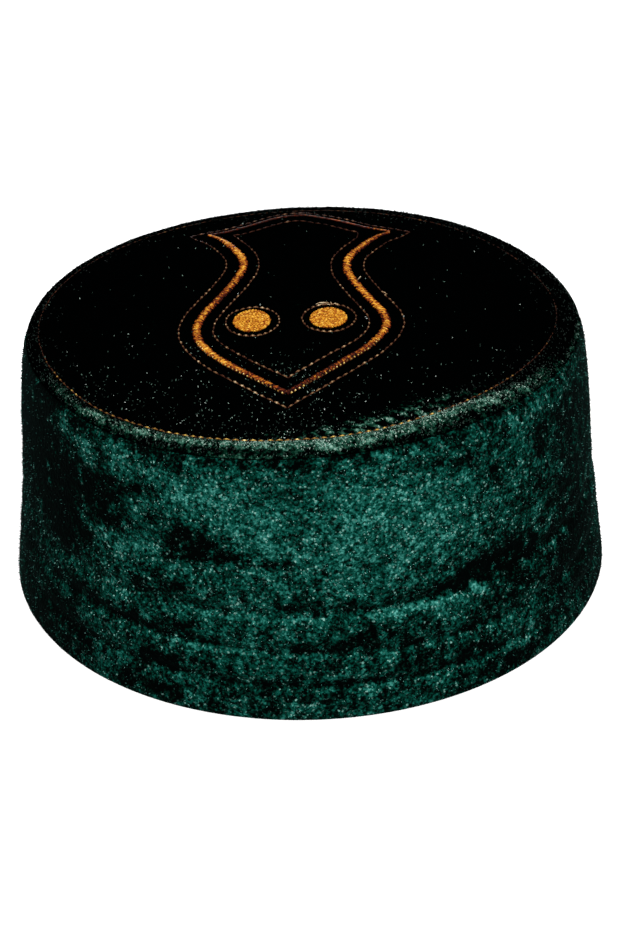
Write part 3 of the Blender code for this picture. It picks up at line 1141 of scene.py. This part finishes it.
def band_velvet():
    """Crushed teal velvet: bright specks of pile, the brightest of them painted glints, over a nearly
    black ground.
    """
    look = Look("band_velvet", 0.95, 0.01)
    look.shader.inputs["Sheen Weight"].default_value = 0.01
    look.shader.inputs["Sheen Tint"].default_value = (0.20, 0.45, 0.40, 1.0)
    rows = (
        (0.08, (0.0000, 0.0003, 0.0002)),
        (0.26, (0.0000, 0.0044, 0.0028)),
        (0.40, (0.0002, 0.0165, 0.0108)),
        (0.52, (0.0010, 0.0320, 0.0230)),
        (0.66, (0.0050, 0.0640, 0.0490)),
        (0.80, (0.0200, 0.1220, 0.0990)),
        (1.00, (0.0620, 0.2300, 0.1950)),
    )
    return speckled_pile(look, rows, (0.15, 0.30, 0.26, 1.0), 0.45 * MM)


def crown_velvet():
    """Near-black velvet, the band's velvet painted dark for the shade on top, with a greyer, fuzzier
    border that carries the painted sheen.
    """
    look = Look("crown_velvet", 0.95, 0.0)
    rows = (
        (0.10, (0.0001, 0.0002, 0.0002)),
        (0.24, (0.0002, 0.0035, 0.0020)),
        (0.38, (0.0012, 0.0120, 0.0066)),
        (0.52, (0.0065, 0.0330, 0.0205)),
        (0.68, (0.0250, 0.0780, 0.0550)),
        (0.84, (0.0720, 0.1560, 0.1200)),
        (1.00, (0.2000, 0.3100, 0.2600)),
    )
    return speckled_pile(look, rows, (0.22, 0.32, 0.28, 1.0), 0.30 * MM)


def fibre_material(name, rows):
    """Loose fibres coloured by their tone, a little darker here and there."""
    look = Look(name, 0.7, 0.15)
    shade = look.remap(look.noise(0.4 * MM, 1.0), 0.30, 0.70, -0.08, 0.08)
    return look.finish(look.ramp(look.maths("ADD", look.attribute("tone"), shade), rows))


def band_tip():
    return fibre_material("band_pile_tips", (
        (0.00, (0.0006, 0.0060, 0.0045)),
        (0.35, (0.0080, 0.0600, 0.0480)),
        (0.65, (0.0550, 0.1900, 0.1600)),
        (1.00, (0.3200, 0.5600, 0.5000)),
    ))


def crown_tip():
    return fibre_material("crown_pile_tips", (
        (0.00, (0.0010, 0.0025, 0.0020)),
        (0.35, (0.0150, 0.0360, 0.0270)),
        (0.65, (0.0900, 0.1650, 0.1280)),
        (0.85, (0.2600, 0.3800, 0.3100)),
        (1.00, (0.5200, 0.5500, 0.5300)),
    ))


@functools.cache
def backing_cloth():
    """Plain dark woven cloth inside the cap."""
    look = Look("backing_cloth", 0.9, 0.5)
    weave = look.noise(0.6 * MM, 2.0)
    look.bump(weave, 0.2 * MM)
    return look.finish(look.blend(weave, (0.004, 0.010, 0.009, 1.0), (0.020, 0.040, 0.036, 1.0)))


def thread_material(name, rows, metallic=0.0):
    """Thread coloured by its tone, with fine fibres and a coarser mottling."""
    look = Look(name, 0.55, 0.03)
    look.shader.inputs["Metallic"].default_value = metallic
    fibres = look.noise(0.28 * MM, 2.0)
    mottle = look.noise(0.9 * MM, 1.0)
    tone = look.maths("ADD", look.attribute("tone"), look.remap(fibres, 0.30, 0.70, -0.10, 0.10))
    tone = look.maths("ADD", tone, look.remap(mottle, 0.30, 0.70, -0.15, 0.13))
    look.bump(fibres, 0.08 * MM)
    return look.finish(look.ramp(tone, rows))


@functools.cache
def gold_thread():
    """Shiny embroidery thread: maroon for the painted shade in the depth of the pile, then rust, gold and
    pale gold up to the painted highlights.
    """
    return thread_material("gold_thread", (
        (0.00, (0.008, 0.0015, 0.0010)),
        (0.18, (0.045, 0.0055, 0.0025)),
        (0.36, (0.170, 0.0260, 0.0030)),
        (0.56, (0.340, 0.1150, 0.0080)),
        (0.76, (0.470, 0.2150, 0.0150)),
        (1.00, (0.620, 0.3700, 0.0700)),
    ), metallic=0.20)


@functools.cache
def line_thread():
    """Duller sewing thread: brown for the painted shade in the pile, with pale painted highlights, the
    beads, where it rises.
    """
    return thread_material("line_thread", (
        (0.00, (0.008, 0.0020, 0.0012)),
        (0.25, (0.040, 0.0120, 0.0060)),
        (0.50, (0.130, 0.0660, 0.0290)),
        (0.75, (0.310, 0.2050, 0.1120)),
        (1.00, (0.610, 0.4900, 0.3200)),
    ))


@functools.cache
def topstitch_thread():
    """Thread of the topstitching and the toe: brown for the painted shade in the pile, then dull gold and
    pale yellow up to the painted highlights.
    """
    return thread_material("topstitch_thread", (
        (0.00, (0.008, 0.0020, 0.0012)),
        (0.25, (0.045, 0.0145, 0.0065)),
        (0.50, (0.180, 0.0930, 0.0200)),
        (0.75, (0.430, 0.2800, 0.0600)),
        (1.00, (0.660, 0.5300, 0.2400)),
    ))


# Floor, lights and camera


def make_floor():
    corners = [(FLOOR_HALF * x, FLOOR_HALF * y, 0.0) for x, y in ((-1, -1), (1, -1), (1, 1), (-1, 1))]
    look = Look("studio_floor", 0.9, 0.0)
    floor = add_mesh("studio_floor", corners, [(0, 1, 2, 3)], [look.finish(FLOOR_COLOUR)])
    floor.visible_diffuse = False
    floor.visible_glossy = False


def add_light(name, kind, azimuth, rise, power):
    """A light that shines towards the cap. azimuth and rise say where it stands, in degrees."""
    data = bpy.data.lights.new(name, kind)
    data.energy = power
    light = add_object(name, data)
    turn, lift = math.radians(azimuth), math.radians(rise)
    light.location = math.cos(turn) * math.cos(lift), math.sin(turn) * math.cos(lift), math.sin(lift)
    light.rotation_euler = light.location.to_track_quat("Z", "Y").to_euler()
    return light


def make_lights():
    """Soft light from the front and behind, and a strip lower than the crown for the band's back."""
    for name, azimuth, rise, softness, power in SOFT_LIGHTS:
        add_light(name, "SUN", azimuth, rise, power).data.angle = math.radians(softness)
    strip = add_light("low_back_strip", "AREA", STRIP_AZIMUTH, 0.0, STRIP_POWER)
    strip.data.shape = "RECTANGLE"
    strip.data.size = STRIP_WIDTH
    strip.data.size_y = STRIP_HEIGHT
    strip.location = strip.location * STRIP_DISTANCE
    strip.location.z = STRIP_LIFT
    strip.visible_camera = False
    world = bpy.data.worlds.new("studio")
    world.use_nodes = True
    background = world.node_tree.nodes["Background"]
    background.inputs["Color"].default_value = (1.0, 1.0, 1.0, 1.0)
    background.inputs["Strength"].default_value = AMBIENT
    bpy.context.scene.world = world
    bpy.context.scene.view_settings.view_transform = "Standard"


def make_camera():
    """The camera is turned, raised and rolled round the point that it aims at."""
    data = bpy.data.cameras.new("camera")
    data.lens = CAMERA_LENS
    data.sensor_width = CAMERA_SENSOR
    data.clip_start = 0.01
    camera = add_object("camera", data)
    place = Matrix.Translation(Vector(CAMERA_AIM))
    for angle, axis in ((CAMERA_TURN, "Z"), (90.0 - CAMERA_RISE, "X"), (CAMERA_ROLL, "Z")):
        place = place @ Matrix.Rotation(math.radians(angle), 4, axis)
    camera.matrix_world = place @ Matrix.Translation(Vector((0.0, 0.0, CAMERA_DISTANCE)))
    bpy.context.scene.camera = camera


make_band()
make_crown()
make_band_tips()
make_crown_tips()
make_satin_outline()
make_toe_edging()
make_figure_lines()
make_rings()
make_ovals()
make_loose_ends()
make_topstitching()
make_floor()
make_lights()
make_camera()
